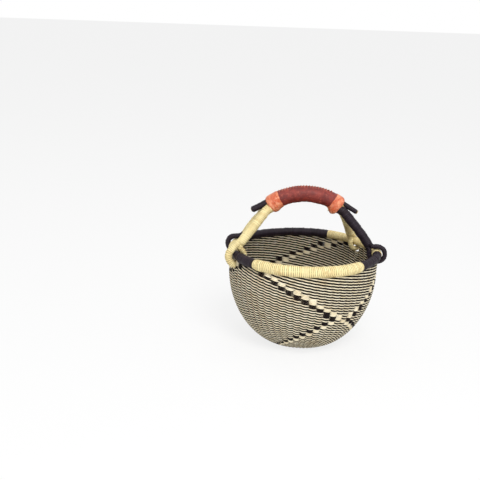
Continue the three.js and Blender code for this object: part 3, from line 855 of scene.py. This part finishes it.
class Leg:
    """A leg of the handle with its loop. Two turns of the rope, with their places in the grip, run down it,
    hand 1 outside and hand -1 inside. neck_shares place the neck in and up from the loop's middle. join is
    where the outer arm meets the loop, in degrees from the top, arm that arm's radius, and reach and low how
    far the loop goes outwards and down."""

    def __init__(self, name, side, azimuth, first, second, neck_shares=(1.1, 1.07), join=10, upright=0.28,
                 arm=LOOP_BAR, reach=LOOP_RADIUS, low=LOOP_RADIUS):
        self.name, self.side, self.join = name, side, join
        self.arm, self.reach, self.low = arm, reach, low
        angle = math.radians(azimuth)
        first, second = strand_point(first, side * GRIP_ANGLE), strand_point(second, side * GRIP_ANGLE)
        top = (first + second) / 2
        leave = tilted_from_grip(side, -LEG_TILT)
        self.spread_top = unit(first - second)
        self.outward = np.array([math.cos(angle), math.sin(angle), 0.0])
        self.centre = self.outward * (RIM_RADIUS + float(bulge_at(angle, RIM_HEIGHT))) + UP * RIM_HEIGHT
        inward, upward = neck_shares
        neck = self.centre - self.outward * inward * LOOP_RADIUS + UP * upward * LOOP_RADIUS
        self.rise = unit(unit(top - neck) + UP * upright)
        self.spread = unit(self.outward - self.rise * (self.outward @ self.rise))
        length = np.linalg.norm(neck - top)
        from_top = top + leave * LEG_TOP_SHARE * length
        self.curve = (top, from_top, neck + self.rise * LEG_NECK_SHARE * length, neck)

    def point(self, share, hand):
        step = 1e-4
        along = unit(bezier(self.curve, min(share + step, 1)) - bezier(self.curve, max(share - step, 0)))
        across = self.spread_top + (self.spread - self.spread_top) * share
        across = unit(across - along * (across @ along))
        return bezier(self.curve, share) + across * hand * ROPE_PITCH / 2

    def round_point(self, angle, hand):
        reach = self.reach if hand > 0 else LOOP_RADIUS
        height = LOOP_RADIUS if math.cos(angle) > 0 else self.low
        return self.centre + UP * height * math.cos(angle) + self.outward * hand * reach * math.sin(angle)

    def arm_points(self, hand):
        angle = math.radians(self.join if hand > 0 else INNER_JOIN)
        start, end = self.point(1, hand), self.round_point(angle, hand)
        reach = np.linalg.norm(end - start) * ARM_SHARE
        arrive = -UP * math.sin(angle) + self.outward * hand * math.cos(angle)
        curve = (start, start - self.rise * reach, end - arrive * reach, end)
        neck = [bezier(curve, t) for t in np.linspace(0, 1, NECK_STEPS + 1)]
        loop = [self.round_point(a, hand) for a in np.linspace(angle, math.pi, LOOP_STEPS + 1)[1:]]
        return neck + loop

    def rope_points(self, hand):
        strand = [self.point(t, hand) for t in np.linspace(0, 1, STRAND_STEPS + 1)]
        return strand + self.arm_points(hand)[1:]


FRONT_LEFT = Leg("front_left", -1, 200, 1, 2, neck_shares=(0.27, 1.37), join=50, upright=-0.05, arm=6.7,
                 reach=15.8, low=17.0)
BACK_LEFT = Leg("back_left", -1, 165, 4, 3, neck_shares=(1.27, 1.27), join=54, arm=5.2)
FRONT_RIGHT = Leg("front_right", 1, -3, 0, 1)
BACK_RIGHT = Leg("back_right", 1, 36, 3, 2)
LEGS = [FRONT_LEFT, BACK_LEFT, FRONT_RIGHT, BACK_RIGHT]


def tail_points(side):
    start = strand_point(0 if side < 0 else STRANDS - 1, side * GRIP_ANGLE)
    bend_reach = TAIL_LENGTH / 3
    bend = start + tilted_from_grip(side, 0) * bend_reach
    end = bend + tilted_from_grip(side, TAIL_LIFT[side]) * (TAIL_LENGTH - bend_reach)
    shares = np.linspace(0, 1, TAIL_STEPS + 1)
    return [start * (1 - t) ** 2 + bend * 2 * t * (1 - t) + end * t * t for t in shares]


# Rope, legs, loops and tails

# The rope is a little thinner than its solid, with fine ridges that twist along it
ROPE_SIDES = 14
ROPE_STEP = 2.2
ROPE_UNDER = 0.2
ROPE_RIDGES = 7
ROPE_RIDGE = 0.18
ROPE_TWIST = 9

# Cut ends of straw that stick out by the right cuff
STUB_SIDES = 8
STUB_RADIUS = 0.8
STUB_FLATNESS = 0.25
STUB_CORNER = SLEEVE_ANGLE + math.radians(1.5)

# How far windings start inside the grip, the share of a leg that sags to fit it, how far a leg keeps off
# the middle plane, and how far windings stand over their solids
LEG_TUCK = 3.0
TAIL_TUCK = 5.0
SAG_SHARE = 0.2
LEG_ASIDE = 0.15
LEG_OVER = 0.12
TAIL_OVER = 0.1

# Shares of the leg where a loop's winding starts, and where it leaves the outer arm's size
LEAD_SHARES = (0.95, 0.975)
ARM_UNTIL = 6
ARM_EASE = 14

LEG_STYLE = dict(pitch=3.3, rib=0.5, sides=26, slant=0.8, rough=0.2, start_round=3.0, end_round=5.0)
LOOP_STYLE = dict(pitch=3.1, rib=0.46, sides=20, slant=0.45, rough=0.2, start_round=3.0, end_round=3.0)
TAIL_STYLE = dict(pitch=2.2, rib=0.3, sides=18, slant=0.5, end_round=3.5)


def tucked(points, reach):
    """The points with one more, that far back from the first."""
    return np.concatenate([points[:1] + unit(points[0] - points[1]) * reach, points])


def stubs():
    """Start, direction and length of each straw end by the right cuff."""
    out, along = outward_at(STUB_CORNER), along_at(STUB_CORNER)
    corner = grip_point(STUB_CORNER)
    by_leg = grip_point(GRIP_ANGLE * 0.97) + FRONT * 8 + outward_at(GRIP_ANGLE) * 2
    return (
        (by_leg, tilted_from_grip(1, -4), 9.0),
        (corner + FRONT * 6 - out * 12.5, unit(along * 0.2 - out), 7.5),
        (corner + FRONT * 9 - out * 10.5, unit(along * 0.7 - out), 7.0),
    )


def make_rope():
    def in_grip(place):
        return [strand_point(place, a) for a in np.linspace(-GRIP_ANGLE, GRIP_ANGLE, GRIP_STEPS + 1)]

    def down_and_up(leg, hand):
        return [leg.rope_points(hand), leg.rope_points(-hand)[::-1]]

    runs = [tail_points(-1)[::-1], in_grip(0)]
    runs += down_and_up(FRONT_RIGHT, 1) + [in_grip(1)[::-1]]
    runs += down_and_up(FRONT_LEFT, 1) + [in_grip(2)]
    runs += down_and_up(BACK_RIGHT, -1) + [in_grip(3)[::-1]]
    runs += down_and_up(BACK_LEFT, -1) + [in_grip(4), tail_points(1)]
    line = Line(np.array(runs[0] + [p for run in runs[1:] for p in run[1:]]), FRONT + 0.1 * UP)
    s = np.linspace(0, line.length, int(line.length / ROPE_STEP))
    turn = round_angles(ROPE_SIDES)
    size = ROPE_RADIUS - ROPE_UNDER + ROPE_RIDGE * np.cos(ROPE_RIDGES * turn)
    rope = line.ring(s[:, None], turn + s[:, None] / ROPE_TWIST, size)
    piece = Piece()
    piece.tube(rope, sheet_uv(s, ROPE_SIDES, ROPE_RADIUS))
    for start, way, reach in stubs():
        s = np.linspace(0, reach, 6)
        line = Line(start + way * s[:, None], FRONT + 0.2 * UP)
        turn = round_angles(STUB_SIDES)
        size = STUB_RADIUS + STUB_FLATNESS * np.cos(2 * turn)
        piece.tube(line.ring(s[:, None], turn, size), sheet_uv(s, STUB_SIDES, 1.0))
    piece.make("rope_straw", "handle", "core_straw", [CORE], ["handle_rope"])


def make_legs():
    for number, leg in enumerate(LEGS):
        shares = np.linspace(0, 1, 60)
        points = np.array([leg.point(t, 0) for t in shares])
        sag = LEG_SAG * np.clip(1 - shares / SAG_SHARE, 0, 1) ** 1.5
        points = points - outward_at(leg.side * GRIP_ANGLE) * sag[:, None]
        line = Line(tucked(points, LEG_TUCK), leg.spread_top)
        front = leg in (FRONT_LEFT, FRONT_RIGHT)
        wound("leg_wrap_" + leg.name, "handle", leg is FRONT_RIGHT, line,
              lambda s: LEG_RADIUS + LEG_OVER, 200 + number, 20 + number,
              clamp=(-1 if front else 1, LEG_ASIDE), **LEG_STYLE)


def make_loops():
    for number, leg in enumerate(LEGS):
        outer, inner = leg.arm_points(1), leg.arm_points(-1)
        lead_out = [leg.point(t, 1) for t in LEAD_SHARES]
        lead_in = [leg.point(t, -1) for t in LEAD_SHARES]
        points = np.array(lead_out + outer + inner[-2::-1] + lead_in[::-1])
        line = Line(points, np.cross(leg.outward, UP))
        bottom = float(line.at[len(lead_out) + len(outer) - 1])

        def size(s, leg=leg, bottom=bottom):
            return leg.arm + (LOOP_BAR - leg.arm) * smooth((s - bottom + ARM_UNTIL) / ARM_EASE)

        wound("loop_wrap_" + leg.name, "handle", leg in (FRONT_RIGHT, BACK_LEFT), line, size, 300 + number,
              30 + number, **LOOP_STYLE)


def make_tails():
    for side, name in SIDES.items():
        line = Line(tucked(np.array(tail_points(side)), TAIL_TUCK), UP)
        radius = TAIL_RADIUS[side] + TAIL_OVER
        wound("tail_wrap_" + name, "handle", True, line, lambda s, radius=radius: radius, 400 + side,
              40 + side, **TAIL_STYLE)


# Grip

# Sleeve: low bumps, pleats underneath, and a welt on top, where its two edges meet
SLEEVE_UNDER = 0.1
BUMP_HEIGHT = 0.22
BUMP_WAVE = 5
PLEAT_DEPTH = 0.35
PLEAT_WAVE = 1.55
WELT_HEIGHT = 0.5
WELT_ANGLE = 0.1

# How far a cuff's inner edge is moved outwards on top and underneath, how far it hangs over the leg, the
# length over which its end is rounded, and where its deep fold is
CUFF_TOP_SHIFT = {-1: -2.6, 1: 5.0}
CUFF_LOW_SHIFT = {-1: -3.0, 1: -0.6}
CUFF_HANG = {-1: 3.4, 1: 6.5}
CUFF_ROUND = {-1: 6.0, 1: 10.0}
CUFF_FOLD = {-1: (10.0, -1.5), 1: (8.0, 2.2)}

# Its turned edge, as distances and depths, how far it stands over the sleeve, and how small its end gets
CUFF_EDGE = np.array([(0.0, 1.3), (0.15, 0.5), (0.4, 0.12), (0.9, 0.0)])
CUFF_EDGE_END = 1.6
CUFF_OVER = 0.75
CUFF_END_ANGLE = 0.02
CUFF_END_SHARE = 0.6
HANG_END_SHARE = 0.35
CREASE_HEIGHT = 0.24
CREASE_WAVE = 3.2
FOLD_DEPTH = 1.1
FOLD_WIDTH = 0.9
FOLD_LIFT = 0.45
FOLD_LIFT_AT = 2.2
FOLD_LIFT_WIDTH = 1.8
FOLD_ANGLE = 0.75
FOLD_SLANT = 3.0

# Lace: how many stitches, the share of the sleeve that they take up, and their form
STITCHES = 20
LACE_SHARE = 0.94
STITCH_SHARE = 0.36
STITCH_TURN = 0.3
STITCH_ASIDE = 0.1
STITCH_SUNK = 0.7
STITCH_ARCH = 1.5
STITCH_SIDES = 10
STITCH_RADIUS = 0.95
STITCH_FLATNESS = 0.3


def grip_line(start, end):
    return Line(np.array([grip_point(a) for a in np.linspace(start, end, 160)]), UP)


def make_sleeve():
    line = grip_line(-SLEEVE_ANGLE, SLEEVE_ANGLE + CUFF_TOP_SHIFT[1] / GRIP_ARC)
    sides = 72
    s = np.linspace(0, line.length, 160)
    where = s[:, None]
    turn = round_angles(sides)
    under = smooth((-np.cos(turn) - 0.1) / 0.9)
    size = GRIP_RADIUS - SLEEVE_UNDER + BUMP_HEIGHT * ripple(where / BUMP_WAVE, np.sin(turn) * 3, 51)
    pleat = np.clip(np.sin(where / PLEAT_WAVE + 0.8 * np.sin(turn * 2)), 0, 1)
    size = size - PLEAT_DEPTH * under * pleat**2
    size = size + WELT_HEIGHT * hump(wrapped(turn) / WELT_ANGLE)
    piece = Piece()
    piece.tube(line.ring(where, turn, size), sheet_uv(s, sides, GRIP_RADIUS))
    piece.make("grip_sleeve", "handle", "red_leather", [RED], ["grip_leather"])


def make_cuffs():
    sides = 64
    turn = round_angles(sides)
    under = np.clip(-np.cos(turn), 0, 1) ** 1.4
    for side, name in SIDES.items():
        start = side * (SLEEVE_ANGLE + SEAM_ANGLE * 0.5)
        line = grip_line(start, side * GRIP_ANGLE + side * CUFF_END_ANGLE)
        length = line.length
        s = np.concatenate([CUFF_EDGE[:, 0], np.linspace(CUFF_EDGE_END, length, 60)])
        top, low = CUFF_TOP_SHIFT[side], CUFF_LOW_SHIFT[side]
        shift = (top + low) / 2 + (top - low) / 2 * np.cos(turn)
        shift = shift + 0.35 * np.sin(turn * 3 + side) + 0.2 * np.sin(turn * 7)
        where = s[:, None] + shift * (1 - s[:, None] / length)
        left = np.clip((length - s) / CUFF_ROUND[side], 0, 1)
        dome = (CUFF_END_SHARE + (1 - CUFF_END_SHARE) * np.sqrt(1 - (1 - left) ** 2))[:, None]
        hang = CUFF_HANG[side] * under * smooth(s / length * 1.7)[:, None]
        size = (GRIP_RADIUS + CUFF_OVER) * dome + hang * (HANG_END_SHARE + (1 - HANG_END_SHARE) * dome)
        size[: len(CUFF_EDGE)] -= CUFF_EDGE[:, 1:]
        crease = ripple(where / CREASE_WAVE + 0.9 * np.sin(turn * 2 + side), np.sin(turn) * 2.2, 61 + side)
        size = size + CREASE_HEIGHT * crease * smooth(s / 3)[:, None]
        fold_at, fold_turn = CUFF_FOLD[side]
        along = where - fold_at - FOLD_SLANT * np.sin(turn - fold_turn)
        near = hump(wrapped(turn - fold_turn) / FOLD_ANGLE)
        size = size - FOLD_DEPTH * hump(along / FOLD_WIDTH) * near
        size = size + FOLD_LIFT * hump((along - FOLD_LIFT_AT) / FOLD_LIFT_WIDTH) * near
        piece = Piece()
        piece.tube(line.ring(where, turn, size), sheet_uv(s, sides, GRIP_RADIUS))
        piece.make("cuff_" + name + "_leather", "handle", "orange_leather", [ORANGE], ["cuff_" + name])


def stitch_point(middle, half_angle, t):
    """A point of a stitch, from t = -1 at one end to 1 at the other."""
    about = STITCH_ASIDE + t * STITCH_TURN
    angle = middle + t * half_angle
    lift = GRIP_RADIUS - STITCH_SUNK + STITCH_ARCH * math.cos(t * math.pi / 2)
    return grip_point(angle) + (outward_at(angle) * math.cos(about) + FRONT * math.sin(about)) * lift


def make_lace():
    """Slanted stitches of thin lace over the seam on top of the sleeve."""
    end = SLEEVE_ANGLE * LACE_SHARE
    turn = round_angles(STITCH_SIDES)
    piece = Piece()
    for i in range(STITCHES):
        middle = -end + (i + 0.5) * 2 * end / STITCHES
        points = [stitch_point(middle, STITCH_SHARE * end / STITCHES, t) for t in np.linspace(-1, 1, 13)]
        line = Line(np.array(points), UP)
        s = np.linspace(0, line.length, 14)
        taper = (0.75 + 0.25 * np.sin(s / line.length * math.pi))[:, None]
        size = (STITCH_RADIUS + STITCH_FLATNESS * np.cos(2 * turn)) * taper
        piece.tube(line.ring(s[:, None], turn, size), sheet_uv(s, STITCH_SIDES, 1.0))
    piece.make("seam_lace", "handle", "lace_leather", [LACE], ["grip_lace"])


# Scene

# Camera, fitted to the rim, base and handle in the photograph: tilt and roll in degrees, distance from the
# middle of the rim and shifts in metres
CAMERA_TILT = 16.07
CAMERA_ROLL = -1.98
CAMERA_DISTANCE = 1.8044
CAMERA_LEFT = 0.11745
CAMERA_UP = 0.01949
CAMERA_CLIP = (0.05, 60)
SENSOR = 36
FOCAL_PIXELS = 973.38
PHOTO_PIXELS = 480

# Stage, in metres: half the floor's side, its colour and its glow for the camera, the fill from the world,
# and the lamps with their place, size and power
FLOOR_REACH = 9.0
FLOOR_COLOUR = (0.86, 0.86, 0.86, 1)
FLOOR_GLOW = 0.8
WORLD_FILL = 0.52
LAMPS_AIM = (0, 0, 0.15)
LAMPS = (
    ("key", (0.45, -2.0, 2.2), 1.5, 61),
    ("fill", (-1.9, -1.4, 1.2), 1.8, 3),
    ("top", (0.0, 0.6, 2.6), 1.6, 6),
)


def make_camera():
    tilt, roll = math.radians(CAMERA_TILT), math.radians(CAMERA_ROLL)
    back = Vector((0, -math.cos(tilt), math.sin(tilt)))
    right = Vector((1, 0, 0))
    up = back.cross(right)
    across = right * math.cos(roll) - up * math.sin(roll)
    upward = right * math.sin(roll) + up * math.cos(roll)
    place = Vector((0, 0, RIM_HEIGHT * MM)) + back * CAMERA_DISTANCE
    place = place - across * CAMERA_LEFT + upward * CAMERA_UP
    data = bpy.data.cameras.new("camera")
    data.sensor_width = SENSOR
    data.lens = SENSOR * FOCAL_PIXELS / PHOTO_PIXELS
    data.clip_start, data.clip_end = CAMERA_CLIP
    camera = bpy.data.objects.new("camera", data)
    turn = Matrix((across, upward, back)).transposed().to_4x4()
    camera.matrix_world = Matrix.Translation(place) @ turn
    bpy.context.scene.collection.objects.link(camera)
    bpy.context.scene.camera = camera


def make_lamps():
    for name, place, size, power in LAMPS:
        data = bpy.data.lights.new(name, "AREA")
        data.shape = "DISK"
        data.size = size
        data.energy = power
        lamp = bpy.data.objects.new(name, data)
        lamp.location = place
        lamp.rotation_mode = "QUATERNION"
        lamp.rotation_quaternion = (Vector(place) - Vector(LAMPS_AIM)).to_track_quat("Z", "Y")
        bpy.context.scene.collection.objects.link(lamp)


def make_floor():
    n = Surface("pale_floor")
    n.put(n.shader.inputs["Base Color"], FLOOR_COLOUR)
    n.put(n.shader.inputs["Roughness"], 0.9)
    n.put(n.shader.inputs["Specular IOR Level"], 0.0)
    glow = n.node("ShaderNodeEmission", {"Color": WHITE, "Strength": 1.0})
    inputs = {0: n.times(n.seen_rays(), FLOOR_GLOW), 1: n.shader.outputs["BSDF"], 2: glow.outputs[0]}
    n.put(n.out.inputs["Surface"], n.node("ShaderNodeMixShader", inputs).outputs[0])
    corners = [(x * FLOOR_REACH, y * FLOOR_REACH, 0) for x, y in ((-1, -1), (1, -1), (1, 1), (-1, 1))]
    mesh = bpy.data.meshes.new("floor")
    mesh.from_pydata(corners, [], [(0, 1, 2, 3)])
    mesh.materials.append(n.material)
    floor = bpy.data.objects.new("floor", mesh)
    bpy.context.scene.collection.objects.link(floor)


def make_world():
    """White where the camera sees it, and an even fill for everything else."""
    world = bpy.data.worlds.new("world")
    bpy.context.scene.world = world
    world.use_nodes = True
    n = Tree(world.node_tree)
    fill = n.node("ShaderNodeBackground", {"Color": WHITE, "Strength": WORLD_FILL})
    plain = n.node("ShaderNodeBackground", {"Color": WHITE, "Strength": 1.0})
    mix = n.node("ShaderNodeMixShader", {0: n.seen_rays(), 1: fill.outputs[0], 2: plain.outputs[0]})
    n.node("ShaderNodeOutputWorld", {0: mix.outputs[0]})


make_camera()
make_floor()
make_world()
make_lamps()
make_weave()
make_stakes()
make_rim()
make_rope()
make_legs()
make_loops()
make_tails()
make_sleeve()
make_cuffs()
make_lace()
bpy.context.scene.view_settings.view_transform = "Standard"

for name in ("rim_core", "grip_binding"):
    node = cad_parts[name]
    node.data.materials.clear()
    node.data.materials.append(CORE)
